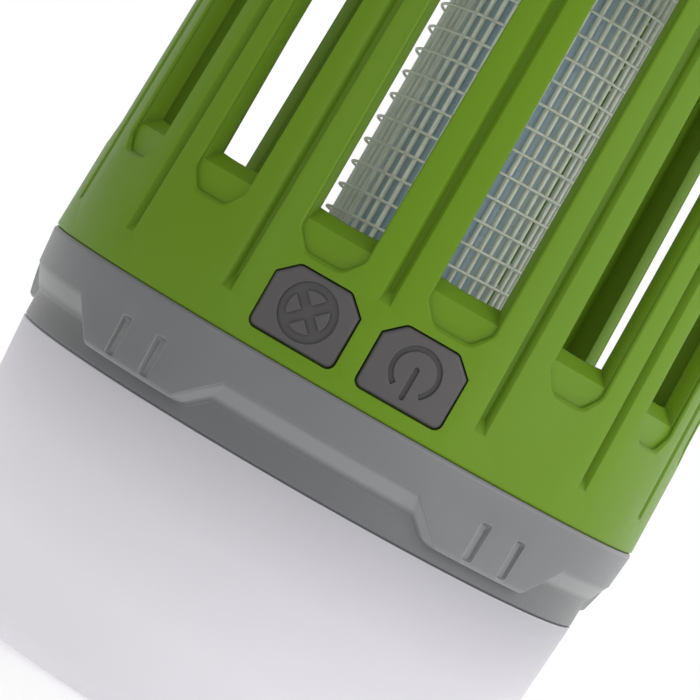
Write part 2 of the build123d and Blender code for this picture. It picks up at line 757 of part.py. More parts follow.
CHARGE_BOARD_Z = PORT_Z - 1.3 - SWITCH_BOARD_T
CHARGE_POSTS = [(-6.0, 28.0), (6.0, 28.0)]
with BuildPart() as charge_board:
    with BuildSketch(Plane.XY.offset(CHARGE_BOARD_Z)):
        with Locations((0, 32.5)):
            RectangleRounded(17.0, 14.0, 1.0)
        with Locations(*CHARGE_POSTS):
            Circle(1.0, mode=Mode.SUBTRACT)
    extrude(amount=SWITCH_BOARD_T)

SOCKET_T = 2.6
with BuildPart() as charge_socket:
    with BuildSketch(facing(180, 35.0, PORT_Z)):
        RectangleRounded(7.6, SOCKET_T, 0.8)
    extrude(amount=5.6)
    with BuildSketch(facing(180, 40.6, PORT_Z)):
        RectangleRounded(6.8, SOCKET_T - 0.8, 0.5)
    extrude(amount=-4.8, mode=Mode.SUBTRACT)
    with BuildSketch(facing(180, 35.6, PORT_Z)):
        Rectangle(5.0, 0.6)
    extrude(amount=4.2)

write(port_cover, "port_cover")
write(charge_board, "charge_board")
write(charge_socket, "charge_socket")

# ---------------------------------------------------------------- battery, tray and boards
CHASSIS_Z = SHELF_TOP_Z + 0.05
CHASSIS_T = 1.2
BOARD_Y = -14.5
BOARD_X_SIZE = 48.0
BOARD_Y_SIZE = 28.0
BOARD_POSTS = [(x, y) for x in (-20.0, 20.0) for y in (-25.5, -3.5)]
SADDLE_X = 22.0

with BuildPart() as inner_chassis:
    extrude(ring_sketch(CHASSIS_Z, 38.9), amount=CHASSIS_T)
    with BuildSketch(Plane.XY.offset(CHASSIS_Z)):
        with Locations((-SADDLE_X, CELL_Y), (SADDLE_X, CELL_Y)):
            Rectangle(2.0, 2 * CELL_R + 3.6)
    extrude(amount=CELL_Z - 1.5 - CHASSIS_Z)
    with BuildSketch(Plane.YZ.offset(-CELL_L / 2)):
        with Locations((CELL_Y, CELL_Z)):
            Circle(CELL_R + 0.1)
    extrude(amount=CELL_L, mode=Mode.SUBTRACT)
    extrude(holes_sketch(CHASSIS_Z, 2.0, BOARD_POSTS), amount=MAIN_BOARD_Z - CHASSIS_Z)
    extrude(holes_sketch(CHASSIS_Z, 2.0, CHARGE_POSTS), amount=CHARGE_BOARD_Z - CHASSIS_Z)
    extrude(holes_sketch(CHASSIS_Z, 0.8, BOARD_POSTS + CHARGE_POSTS), amount=20, mode=Mode.SUBTRACT)
    extrude(holes_sketch(CHASSIS_Z, BOSS_R + 0.2, COLLAR_SCREWS), amount=3, mode=Mode.SUBTRACT)
    extrude(holes_sketch(CHASSIS_Z, 2.6, REFLECTOR_SCREWS), amount=3, mode=Mode.SUBTRACT)
    extrude(holes_sketch(CHASSIS_Z, LEAD_HOLE_R, [LEAD_HOLE]), amount=3, mode=Mode.SUBTRACT)

with BuildPart() as battery_cell:
    with BuildSketch(Plane.YZ.offset(-CELL_L / 2)):
        with Locations((CELL_Y, CELL_Z)):
            Circle(CELL_R)
    extrude(amount=CELL_L - 0.8)
    fillet(battery_cell.edges(), radius=0.8)
    with BuildSketch(Plane.YZ.offset(CELL_L / 2 - 0.8)):
        with Locations((CELL_Y, CELL_Z)):
            Circle(3.0)
    extrude(amount=0.8)

with BuildPart() as battery_tabs:
    for start_x in (-CELL_L / 2 - 0.25, CELL_L / 2):
        with BuildSketch(Plane.YZ.offset(start_x)):
            with Locations((CELL_Y - 2, CELL_Z)):
                RectangleRounded(9.0, 5.0, 0.6)
        extrude(amount=0.25)

with BuildPart() as main_board:
    with BuildSketch(Plane.XY.offset(MAIN_BOARD_Z)):
        with Locations((0, BOARD_Y)):
            RectangleRounded(BOARD_X_SIZE, BOARD_Y_SIZE, 2.0)
        with Locations(*BOARD_POSTS):
            Circle(1.0, mode=Mode.SUBTRACT)
    extrude(amount=BOARD_T)

BOARD_TOP_Z = MAIN_BOARD_Z + BOARD_T
COIL_AT = (-11.0, -13.5)
with BuildPart() as transformer_core:
    with BuildSketch(Plane.XZ.offset(-COIL_AT[1] - 3.0)):
        with Locations((COIL_AT[0], BOARD_TOP_Z + 6.5)):
            Rectangle(15.0, 12.0)
        with Locations((COIL_AT[0] - 4.25, BOARD_TOP_Z + 6.5), (COIL_AT[0] + 4.25, BOARD_TOP_Z + 6.5)):
            Rectangle(3.5, 7.6, mode=Mode.SUBTRACT)
    extrude(amount=6.0)

with BuildPart() as transformer_coil:
    with BuildSketch(Plane.XY.offset(BOARD_TOP_Z + 2.8)):
        with Locations(COIL_AT):
            RectangleRounded(11.8, 13.0, 2.0)
            Rectangle(5.1, 6.1, mode=Mode.SUBTRACT)
    extrude(amount=7.4)

with BuildPart() as capacitors:
    with BuildSketch(Plane.XY.offset(BOARD_TOP_Z)):
        with Locations((10, -21), (10, -15.5), (10, -10)):
            RectangleRounded(11.0, 4.4, 0.8)
    extrude(amount=9.0)
    fillet(capacitors.faces().group_by(Axis.Z)[-1].edges(), radius=0.6)
    with BuildSketch(Plane.XY.offset(BOARD_TOP_Z)):
        with Locations((19.5, -18.0)):
            Circle(3.1)
    extrude(amount=11.0)

with BuildPart() as board_chips:
    with BuildSketch(Plane.XY.offset(BOARD_TOP_Z)):
        with Locations((10.0, -5.0)):
            Rectangle(6.0, 4.0)
        with Locations((-21.0, -12.0), (-21.0, -17.0)):
            Rectangle(3.0, 3.4)
    extrude(amount=1.5)

board_screws = screws(BOARD_POSTS, BOARD_TOP_Z, 3.6, shank_r=0.8, head_r=1.6, head_down=False)
charge_screws = screws(
    CHARGE_POSTS, CHARGE_BOARD_Z + SWITCH_BOARD_T, 4.0, shank_r=0.8, head_r=1.6, head_down=False
)

write(inner_chassis, "inner_chassis")
write(battery_cell, "battery_cell")
write(battery_tabs, "battery_tabs")
write(main_board, "main_board")
write(transformer_core, "transformer_core")
write(transformer_coil, "transformer_coil")
write(capacitors, "capacitors")
write(board_chips, "board_chips")
write(board_screws, "board_screws")
write(charge_screws, "charge_screws")

# ---------------------------------------------------------------- insulators, electrodes and tube
RING_HALF = 0.4  # half thickness of the rings that join the grid wires
RING_H = 0.8
RING_DEEP = 1.4  # depth of the ring grooves in the insulators
HELIX_GROOVE = 0.45
TUBE_WALL = 1.0
TUBE_DEEP = 0.9
UV_STRIP_W = 6.4
UV_STRIP_T = 1.0
BASE_LOW_Z = LEDGE_Z + 0.05
CROWN_TOP_Z = CAGE_TOP_Z - 3.55
BOSS_TOP_Z = CROWN_TOP_Z + 5.5  # the cap is screwed onto these bosses


def electrode_grooves(face_z, direction):
    """Ring-shaped seats for both electrodes and the tube, cut into an insulator's inner face."""
    seats = (
        (GRID_R + RING_HALF + 0.05, GRID_R - RING_HALF - 0.05, RING_DEEP),
        (HELIX_R + HELIX_WIRE_R + 0.1, HELIX_R - HELIX_WIRE_R - 0.1, HELIX_GROOVE),
        (TUBE_R + 0.05, TUBE_R - TUBE_WALL - 0.05, TUBE_DEEP),
    )
    with BuildPart() as grooves:
        for outer, inner, depth in seats:
            extrude(ring_sketch(face_z, outer, inner), amount=direction * depth)
    return grooves.part


with BuildPart() as grid_base:
    extrude(ring_sketch(BASE_LOW_Z, cage_r(DECK_Z) - WALL - 0.2), amount=DECK_Z - BASE_LOW_Z)
    add(electrode_grooves(DECK_Z, -1), mode=Mode.SUBTRACT)
    with BuildSketch(Plane.XY.offset(BASE_LOW_Z)):
        Rectangle(UV_STRIP_W + 0.3, UV_STRIP_T + 0.3)
        with Locations((0, -GRID_R)):
            Circle(0.8)
        with Locations((HELIX_R, 0)):
            Circle(0.45)
    extrude(amount=3, mode=Mode.SUBTRACT)

with BuildPart() as grid_crown:
    extrude(ring_sketch(CROWN_Z, cage_r(CROWN_TOP_Z) - WALL - 0.15), amount=CROWN_TOP_Z - CROWN_Z)
    add(electrode_grooves(CROWN_Z, 1), mode=Mode.SUBTRACT)
    extrude(holes_sketch(CROWN_TOP_Z, BOSS_R, CAP_SCREWS), amount=BOSS_TOP_Z - CROWN_TOP_Z)
    extrude(holes_sketch(CROWN_TOP_Z, SCREW_R, CAP_SCREWS), amount=10, mode=Mode.SUBTRACT)

with BuildPart() as inner_electrode:
    low_ring_z = DECK_Z - RING_DEEP + 0.05
    high_ring_z = CROWN_Z + RING_DEEP - 0.05 - RING_H
    extrude(ring_sketch(low_ring_z, GRID_R + RING_HALF, GRID_R - RING_HALF), amount=RING_H)
    extrude(ring_sketch(high_ring_z, GRID_R + RING_HALF, GRID_R - RING_HALF), amount=RING_H)
    with BuildSketch(Plane.XY.offset(low_ring_z + RING_H / 2)):
        with PolarLocations(GRID_R, GRID_WIRES):
            Circle(GRID_WIRE_R)
    extrude(amount=high_ring_z - low_ring_z)

HELIX_LOW_Z = DECK_Z - 0.2
HELIX_HIGH_Z = CROWN_Z + 0.2
with BuildPart() as outer_electrode:
    with BuildLine() as coil:
        Helix(HELIX_PITCH, HELIX_HIGH_Z - HELIX_LOW_Z, HELIX_R, center=(0, 0, HELIX_LOW_Z))
    with BuildSketch(Plane(origin=coil.line @ 0, z_dir=coil.line % 0)):
        Circle(HELIX_WIRE_R)
    sweep(is_frenet=True)
    with BuildSketch(Plane.XY.offset(BASE_LOW_Z + 0.3)):
        with Locations((HELIX_R, 0)):
            Circle(0.3)
    extrude(amount=HELIX_LOW_Z - BASE_LOW_Z - 0.3)

with BuildPart() as uv_tube:
    extrude(
        ring_sketch(DECK_Z - TUBE_DEEP + 0.05, TUBE_R, TUBE_R - TUBE_WALL),
        amount=CROWN_Z - DECK_Z + 2 * TUBE_DEEP - 0.1,
    )

UV_STRIP_LOW_Z = 63.6
with BuildPart() as uv_board:
    with BuildSketch(Plane.XY.offset(UV_STRIP_LOW_Z)):
        Rectangle(UV_STRIP_W, UV_STRIP_T)
    extrude(amount=CROWN_Z - 1.5 - UV_STRIP_LOW_Z)

with BuildPart() as uv_leds:
    for face in (-1, 1):
        with BuildSketch(Plane.XZ.offset(-face * UV_STRIP_T / 2)):
            with Locations(*[(0, DECK_Z + 7 + 9 * step) for step in range(5)]):
                RectangleRounded(3.2, 2.8, 0.3)
        extrude(amount=-face * 0.8)

write(grid_base, "grid_base")
write(grid_crown, "grid_crown")
write(inner_electrode, "inner_electrode")
write(outer_electrode, "outer_electrode")
write(uv_tube, "uv_tube")
write(uv_board, "uv_board")
write(uv_leds, "uv_leds")

# ---------------------------------------------------------------- top cap and hook
RECESS_HALF_W = 13.0
RECESS_BACK_Y = 6.0
RECESS_FRONT_Y = -31.5
TUB_WALL = 2.0
EAR_IN_X = 5.4
EAR_T = 3.0
EAR_R = 3.0
PIN_R = 1.0
CAP_SEAT_Z = 130.0  # under the screw heads

with BuildPart() as top_cap:
    with BuildSketch(Plane.XZ) as profile:
        with BuildLine():
            Polyline(
                (34.9, CAGE_TOP_Z - 1.8),
                (36.7, CAGE_TOP_Z - 1.8),
                (36.7, CAGE_TOP_Z + 0.05),
                (41.85, CAGE_TOP_Z + 0.05),
                (42.15, CAGE_TOP_Z + 0.35),
                (42.0, CAGE_TOP_Z + 6.0),
                (40.3, CAGE_TOP_Z + 8.9),
                (39.6, CAP_TOP_Z),
                (0, CAP_TOP_Z),
                (0, CAP_TOP_Z - 2.4),
                (37.2, CAP_TOP_Z - 2.4),
                (37.9, CAGE_TOP_Z + 8.2),
                (39.4, CAGE_TOP_Z + 5.6),
                (39.4, CAGE_TOP_Z + 2.2),
                (34.9, CAGE_TOP_Z + 2.2),
                close=True,
            )
        make_face()
        fillet(profile.vertices().sort_by_distance((39.6, CAP_TOP_Z, 0))[0], radius=2.0)
        fillet(profile.vertices().sort_by_distance((42.0, CAGE_TOP_Z + 6.0, 0))[0], radius=0.8)
        fillet(profile.vertices().sort_by_distance((40.3, CAGE_TOP_Z + 8.9, 0))[0], radius=0.8)
    revolve(axis=Axis.Z)
    recess_l = RECESS_BACK_Y - RECESS_FRONT_Y
    recess_y = (RECESS_BACK_Y + RECESS_FRONT_Y) / 2
    with BuildSketch(Plane.XY.offset(RECESS_Z - TUB_WALL)):
        with Locations((0, recess_y)):
            RectangleRounded(2 * (RECESS_HALF_W + TUB_WALL), recess_l + 2 * TUB_WALL, 7.0)
    extrude(amount=CAP_TOP_Z - 1 - RECESS_Z + TUB_WALL)
    extrude(holes_sketch(BOSS_TOP_Z + 0.05, 3.6, CAP_SCREWS), amount=CAP_TOP_Z - 1.05 - BOSS_TOP_Z)
    boss_room = holes_sketch(CAGE_TOP_Z - 2, BOSS_R + 0.2, CAP_SCREWS)
    extrude(boss_room, amount=BOSS_TOP_Z + 2.05 - CAGE_TOP_Z, mode=Mode.SUBTRACT)
    with BuildSketch(Plane.XY.offset(RECESS_Z)):
        with Locations((0, recess_y)):
            RectangleRounded(2 * RECESS_HALF_W, recess_l, 5.0)
    extrude(amount=10, mode=Mode.SUBTRACT)
    rim = top_cap.edges().filter_by_position(Axis.Z, CAP_TOP_Z - 0.01, CAP_TOP_Z + 0.01)
    fillet(rim.filter_by(lambda edge: abs(edge.center().X) < 20 and edge.center().Y < 10), radius=0.8)
    for ear_x in (-EAR_IN_X - EAR_T, EAR_IN_X):
        with BuildSketch(Plane.YZ.offset(ear_x)):
            with Locations((0, HOOK_Z)):
                Circle(EAR_R)
            with Locations((0, (RECESS_Z + HOOK_Z) / 2 - 0.5)):
                Rectangle(2 * EAR_R, HOOK_Z - RECESS_Z + 1.0)
        extrude(amount=EAR_T)
    with BuildSketch(Plane.YZ.offset(-EAR_IN_X - EAR_T - 1)):
        with Locations((0, HOOK_Z)):
            Circle(PIN_R)
    extrude(amount=2 * (EAR_IN_X + EAR_T + 1), mode=Mode.SUBTRACT)
    extrude(holes_sketch(CAGE_TOP_Z, SCREW_R + 0.15, CAP_SCREWS), amount=20, mode=Mode.SUBTRACT)
    extrude(holes_sketch(CAP_SEAT_Z, HEAD_R + 0.3, CAP_SCREWS), amount=10, mode=Mode.SUBTRACT)

HOOK_ROD_R = 1.6
HOOK_BEND_R = 9.4
HOOK_CENTRE_Y = -18.6
HOOK_TIP_ANGLE = 400.0
BARREL_R = 2.6
with BuildPart() as hook:
    with BuildLine() as bend:
        CenterArc((0, HOOK_CENTRE_Y, HOOK_Z), HOOK_BEND_R, 90, HOOK_TIP_ANGLE - 90)
    with BuildSketch(Plane(origin=bend.line @ 0, z_dir=bend.line % 0)):
        Circle(HOOK_ROD_R)
    sweep()
    with Locations(bend.line @ 0, bend.line @ 1):
        Sphere(HOOK_ROD_R)
    with BuildSketch(Plane.XZ.offset(-HOOK_CENTRE_Y - HOOK_BEND_R)):
        with Locations((0, HOOK_Z)):
            Circle(HOOK_ROD_R)
    extrude(amount=HOOK_CENTRE_Y + HOOK_BEND_R)
    with BuildSketch(Plane.YZ.offset(-EAR_IN_X + 0.2)):
        with Locations((0, HOOK_Z)):
            Circle(BARREL_R)
    extrude(amount=2 * (EAR_IN_X - 0.2))
    with BuildSketch(Plane.YZ.offset(-EAR_IN_X)):
        with Locations((0, HOOK_Z)):
            Circle(PIN_R + 0.05)
    extrude(amount=2 * EAR_IN_X, mode=Mode.SUBTRACT)

with BuildPart() as hook_pin:
    pin_half = EAR_IN_X + EAR_T + 0.6
    with BuildSketch(Plane.YZ.offset(-EAR_IN_X - EAR_T)):
        with Locations((0, HOOK_Z)):
            Circle(PIN_R)
    extrude(amount=EAR_IN_X + EAR_T + pin_half)
    with BuildSketch(Plane.YZ.offset(-EAR_IN_X - EAR_T)):
        with Locations((0, HOOK_Z)):
            Circle(1.6)
    extrude(amount=-0.8)
    fillet(hook_pin.faces().sort_by(Axis.X)[0].edges(), radius=0.4)
    chamfer(hook_pin.faces().sort_by(Axis.X)[-1].edges(), length=0.3)

cap_screws = screws(CAP_SCREWS, CAP_SEAT_Z, 10.5, head_down=False)

write(top_cap, "top_cap")
write(hook, "hook")
write(hook_pin, "hook_pin")
write(cap_screws, "cap_screws")

# ---------------------------------------------------------------- wiring
LEAD_R = 0.55


def leads(*runs):
    """Round insulated wires, each along a smooth curve through its points."""
    with BuildPart() as bundle:
        for points in runs:
            with BuildLine(mode=Mode.PRIVATE) as run:
                Spline(*points)
            with BuildSketch(Plane(origin=run.line @ 0, z_dir=run.line % 0), mode=Mode.PRIVATE) as section:
                Circle(LEAD_R)
            sweep(section.sketch, path=run.line)
    return bundle


tab_end_x = CELL_L / 2 + 0.9
battery_leads = leads(
    [(-tab_end_x, 8.0, 55.0), (-32.5, 1.0, 51.5), (-27, -6, 50.4), (-22.0, -8.0, 49.3)],
    [(tab_end_x, 8.0, 55.0), (32.5, 1.0, 51.5), (27, -6, 50.4), (22.0, -8.0, 49.3)],
)
lamp_leads = leads(
    [(8.8, -12.0, 46.75), (9.1, -12.3, 44.8), (9.1, -12.2, 43.0), (8.8, -12.0, 41.3)],
    [(7.2, -12.0, 46.75), (6.9, -11.7, 44.8), (6.9, -11.8, 43.0), (7.2, -12.0, 41.3)],
)
grid_leads = leads(
    [(-1.2, -19.0, 49.2), (-1.2, -18.5, 55.0), (-0.6, -15.0, 61.0), (0, -GRID_R, 65.1)],
    [(4.0, -2.6, 49.2), (5.5, -3.0, 54.0), (12.5, -1.6, 60.5), (HELIX_R, -0.3, 64.3)],
)
uv_leads = leads(
    [(1.2, -4.0, 49.2), (1.2, -3.6, 56.0), (1.2, -1.25, 63.0), (1.2, -1.1, 64.3)],
    [(-0.6, -4.0, 49.2), (-0.6, -3.6, 56.0), (-0.6, -1.25, 63.0), (-0.6, -1.1, 64.3)],
)

write(battery_leads, "battery_leads")
write(lamp_leads, "lamp_leads")
write(grid_leads, "grid_leads")
write(uv_leads, "uv_leads")
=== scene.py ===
"""Looks of the bug zapper lantern: materials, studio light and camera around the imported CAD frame."""

import json
import math

import bpy
from mathutils import Matrix, Vector


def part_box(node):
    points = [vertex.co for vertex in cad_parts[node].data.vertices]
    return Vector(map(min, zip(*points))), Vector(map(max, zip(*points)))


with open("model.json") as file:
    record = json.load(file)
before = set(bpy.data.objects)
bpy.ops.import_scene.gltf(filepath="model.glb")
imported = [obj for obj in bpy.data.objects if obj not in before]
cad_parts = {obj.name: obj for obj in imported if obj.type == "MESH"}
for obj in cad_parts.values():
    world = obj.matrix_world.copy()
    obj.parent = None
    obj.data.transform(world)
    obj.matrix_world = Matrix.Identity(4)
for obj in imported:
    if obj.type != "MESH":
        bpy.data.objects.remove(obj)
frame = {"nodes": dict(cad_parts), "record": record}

NODES = frame["nodes"]
MM = 0.001
SEAM_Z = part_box("cage_housing")[0].z  # where the green housing meets the collar


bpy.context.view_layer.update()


# ---------------------------------------------------------------- colours
def lighter(colour, amount):
    """The colour moved towards white by a share."""
    return tuple(value + (1 - value) * amount for value in colour)


def darker(colour, factor):
    """The colour with its light multiplied by a factor."""
    return tuple(value * factor for value in colour)


# ---------------------------------------------------------------- node helpers
NOISE_LOW, NOISE_HIGH = 0.3, 0.7  # most values of a noise lie between these
EDGE_START, EDGE_FULL = 0.995, 0.8  # cosines between a face and its rounded normal where an edge shows


class Wiring:
    """Adds nodes to one node tree and links them."""

    def __init__(self, tree):
        self.tree = tree
        self.tree.nodes.clear()

    def node(self, kind, **settings):
        """Add a node; settings that name an input are values or links, the others are properties."""
        made = self.tree.nodes.new("ShaderNode" + kind)
        for key, value in settings.items():
            if key in made.inputs:
                self.feed(made.inputs[key], value)
            else:
                setattr(made, key, value)
        return made

    def feed(self, socket, value):
        """Link or set one input; colours are given without alpha."""
        if isinstance(value, bpy.types.NodeSocket):
            self.tree.links.new(value, socket)
        elif socket.type == "RGBA":
            socket.default_value = (*value, 1.0)
        else:
            socket.default_value = value

    def math(self, operation, a, b=0.0, clamp=False):
        """Combine two values."""
        made = self.node("Math", operation=operation, use_clamp=clamp)
        self.feed(made.inputs[0], a)
        self.feed(made.inputs[1], b)
        return made.outputs[0]

    def mix(self, factor, a, b):
        """Mix two colours: a where the factor is 0, b where it is 1."""
        made = self.node("Mix", data_type="RGBA", Factor=factor)
        self.feed(made.inputs[6], a)
        self.feed(made.inputs[7], b)
        return made.outputs[2]

    def span(self, value, low, high, out_low=0.0, out_high=1.0):
        """Map a value's range to another range, clamped."""
        limits = {"From Min": low, "From Max": high, "To Min": out_low, "To Max": out_high}
        return self.node("MapRange", Value=value, **limits).outputs["Result"]

    def either(self, factor, a, b):
        """Mix two shaders: a where the factor is 0, b where it is 1."""
        made = self.node("MixShader", Fac=factor)
        self.feed(made.inputs[1], a.outputs[0])
        self.feed(made.inputs[2], b.outputs[0])
        return made


class Shader(Wiring):
    """The nodes of one material, worked out from the object's own coordinates."""

    def __init__(self, name):
        self.material = bpy.data.materials.new(name)
        self.material.use_nodes = True
        super().__init__(self.material.node_tree)
        self.place = self.node("TexCoord").outputs["Object"]

    def in_mm(self, stretch=(1, 1, 1)):
        """The object's own coordinates in millimetres, stretched along its axes."""
        return self.node("Mapping", Vector=self.place, Scale=[value / MM for value in stretch]).outputs[0]

    def noise(self, per_mm, detail=2.0, roughness=0.5, stretch=(1, 1, 1)):
        """Noise with about per_mm bumps a millimetre."""
        place = self.in_mm(stretch)
        made = self.node("TexNoise", Vector=place, Scale=per_mm, Detail=detail, Roughness=roughness)
        return made.outputs["Fac"]

    def spread(self, noise, out_low=0.0, out_high=1.0):
        """Map a noise's usual range to another range."""
        return self.span(noise, NOISE_LOW, NOISE_HIGH, out_low, out_high)

    def edge_mask(self, radius):
        """A mask that is 1 near convex and concave edges, and the normal that rounds them."""
        bevel = self.node("Bevel", Radius=radius, samples=6)
        surface = self.node("NewGeometry")
        dot = self.node("VectorMath", operation="DOT_PRODUCT")
        self.feed(dot.inputs[0], bevel.outputs[0])
        self.feed(dot.inputs[1], surface.outputs["Normal"])
        return self.span(dot.outputs["Value"], EDGE_START, EDGE_FULL), bevel.outputs[0]

    def crevice(self, reach):
        """0 on open faces, towards 1 deep in the piece's own grooves and corners; used to paint shade
        there.
        """
        shade = self.node("AmbientOcclusion", Distance=reach, samples=4, only_local=True)
        return self.math("SUBTRACT", 1.0, shade.outputs["AO"], clamp=True)

    def along(self, axis):
        """Object coordinate along an axis, in millimetres."""
        split = self.node("SeparateXYZ", Vector=self.place)
        return self.math("MULTIPLY", split.outputs[axis], 1 / MM)

    def reach(self):
        """Distance from the object's main axis, in millimetres."""
        across, depth = self.along("X"), self.along("Y")
        across_squared = self.math("MULTIPLY", across, across)
        depth_squared = self.math("MULTIPLY", depth, depth)
        return self.math("SQRT", self.math("ADD", across_squared, depth_squared))

    def bump(self, strength, depth, height, normal=None):
        """A bumped normal; depth is in millimetres."""
        settings = {"Strength": strength, "Distance": depth * MM, "Height": height}
        if normal is not None:
            settings["Normal"] = normal
        return self.node("Bump", **settings).outputs[0]

    def principled(self, **inputs):
        """Finish the material; an input's name is written with _ for its spaces."""
        named = {key.replace("_", " "): value for key, value in inputs.items()}
        return self.surface(self.node("BsdfPrincipled", **named))

    def surface(self, shader):
        """Put a surface on the material's output."""
        self.node("OutputMaterial", Surface=shader.outputs[0])
        return self.material


# ---------------------------------------------------------------- kinds of material
CREVICE_REACH = 1.6 * MM  # how far a groove's sides shade its floor
CREVICE_SHADE = 0.6
BAND_BLEND = 0.15  # millimetres over which a band around the axis fades in and out


def moulded_plastic(
    name,
    colour,
    rough=0.42,
    grain=0.12,
    edge=0.06,
    specular=0.22,
    mottle=0.05,
    soft_edge=0.2,
    sunk=None,
    flank=None,
    painted_glow=0.0,
):
    """Injection-moulded plastic: faint flow mottling, a fine spark-eroded grain, painted highlights along
    its edges and painted shade in its grooves and corners.

    sunk gives the distances from the main axis of a recess and of the face around it, and how much darker
    the recess is made. flank gives the distances between which slopes get a painted highlight, as if lit
    from below, and how strong it is. painted_glow is the strength of emission painted in the plastic's
    own colour, painted light that stands in for light coming through the plastic from its other side.
    """
    shader = Shader(name)
    edges, rounded = shader.edge_mask(soft_edge * MM)
    flow = shader.spread(shader.noise(per_mm=0.05, detail=3.0, stretch=(1, 1, 0.35)))
    specks = shader.span(shader.noise(per_mm=2.6, detail=1.0), low=0.62, high=0.8, out_high=0.35)
    # painted highlight: edges are lightened in the base colour as if they caught the light
    edge_highlight = shader.math("MULTIPLY", edges, edge * 3, clamp=True)
    # painted shade: grooves and corners are darkened in the base colour
    shade = shader.math("MULTIPLY", shader.crevice(CREVICE_REACH), CREVICE_SHADE)
    base = shader.mix(flow, darker(colour, factor=1 - mottle), darker(colour, factor=1.02))
    base = shader.mix(specks, base, darker(colour, factor=0.86))
    base = shader.mix(edge_highlight, base, lighter(colour, amount=0.28))
    base = shader.mix(shade, base, darker(colour, factor=0.3))
    # darkens a recess in the base colour: painted shade on the collar's lower band, a darker engraving
    # floor on the buttons
    if sunk:
        floor, face, depth = sunk
        recess = shader.span(shader.reach(), floor, face, out_low=depth, out_high=0.0)
        base = shader.mix(recess, base, darker(colour, factor=0.35))
    if flank:
        start, end, flank_highlight = flank
        inside = shader.math(
            "MULTIPLY",
            shader.span(shader.reach(), start - BAND_BLEND, start + BAND_BLEND),
            shader.span(shader.reach(), end + BAND_BLEND, end - BAND_BLEND),
        )
        # painted highlight on the slopes between the given distances
        base = shader.mix(shader.math("MULTIPLY", inside, flank_highlight), base, lighter(colour, amount=0.5))
    texture = shader.noise(per_mm=4.5, detail=2.0, roughness=0.6)
    roughness = shader.math("ADD", shader.spread(texture, out_low=-0.05, out_high=0.05), rough)
    roughness = shader.math("SUBTRACT", roughness, shader.math("MULTIPLY", edges, 0.08))
    return shader.principled(
        Base_Color=base,
        Roughness=roughness,
        Normal=shader.bump(strength=grain, depth=0.06, height=texture, normal=rounded),
        Specular_IOR_Level=specular,
        # painted light: emission in the plastic's own colour lifts its shaded insides
        Emission_Color=colour,
        Emission_Strength=painted_glow,
    )


LAMP_SHADOW_Z = (24.0, 35.0)  # levels between which a painted shadow darkens the cup towards the collar
LAMP_PAINTED_GLOW_Z = (35.0, 12.0)  # levels between which the painted emission grows downwards
LAMP_PAINTED_GLOW_X = (35.0, -38.0)  # and from right to left
LAMP_COLOURS = ((0.44, 0.43, 0.462), (0.475, 0.465, 0.50))
# colour of the painted shadow under the collar
LAMP_SHADOW = (0.28, 0.275, 0.30)
# colour of the painted highlight on the cup's edges
LAMP_EDGE_HIGHLIGHT = (0.62, 0.61, 0.65)
# colour of the painted emission
LAMP_PAINTED_GLOW = (1.0, 0.97, 1.0)


def frosted_diffuser(name):
    """Opal lamp cup with painted light: a painted shadow towards the collar, painted highlights on its
    edges and painted emission, stronger low down and to the left.
    """
    shader = Shader(name)
    edges, rounded = shader.edge_mask(0.3 * MM)
    shadow = shader.span(shader.along("Z"), *LAMP_SHADOW_Z, out_high=0.5)
    base = shader.mix(shader.noise(per_mm=0.03, detail=2.0), *LAMP_COLOURS)
    base = shader.mix(shadow, base, LAMP_SHADOW)
    # painted highlight on the edges
    base = shader.mix(shader.math("MULTIPLY", edges, 0.3), base, LAMP_EDGE_HIGHLIGHT)
    texture = shader.noise(per_mm=3.5, detail=2.0)
    # painted light: emission that grows downwards and to the left
    below = shader.span(shader.along("Z"), *LAMP_PAINTED_GLOW_Z, out_low=0.05, out_high=0.24)
    beside = shader.span(shader.along("X"), *LAMP_PAINTED_GLOW_X, out_low=-0.05, out_high=0.10)
    return shader.principled(
        Base_Color=base,
        Roughness=shader.spread(texture, out_low=0.46, out_high=0.54),
        Normal=shader.bump(strength=0.05, depth=0.05, height=texture, normal=rounded),
        Emission_Color=LAMP_PAINTED_GLOW,
        Emission_Strength=shader.math("ADD", below, beside),
        Specular_IOR_Level=0.3,
        Subsurface_Weight=0.25,
        Subsurface_Radius=(1.0, 0.95, 1.05),
        Subsurface_Scale=3 * MM,
    )


def wire_metal(name, colour, rough):
    """Drawn galvanised wire: pale metal with streaks along the wire, cloudy zinc and painted emission in
    its own colour that lifts its shaded sides.
    """
    shader = Shader(name)
    streaks = shader.noise(per_mm=1.5, detail=3.0, stretch=(1, 1, 0.08))
    zinc = shader.noise(per_mm=0.5, detail=3.0)
    cloud = shader.span(zinc, low=0.35, high=0.65)
    drawn = shader.span(streaks, low=0.5, high=0.8, out_high=0.4)
    base = shader.mix(cloud, darker(colour, factor=0.82), colour)
    base = shader.mix(drawn, base, darker(colour, factor=0.7))
    return shader.principled(
        Base_Color=base,
        Metallic=0.35,
        # painted light: emission lifts the shaded sides of the wire
        Emission_Color=colour,
        Emission_Strength=0.10,
        Roughness=shader.spread(zinc, out_low=rough - 0.08, out_high=rough + 0.1),
        Normal=shader.bump(strength=0.25, depth=0.02, height=streaks),
    )


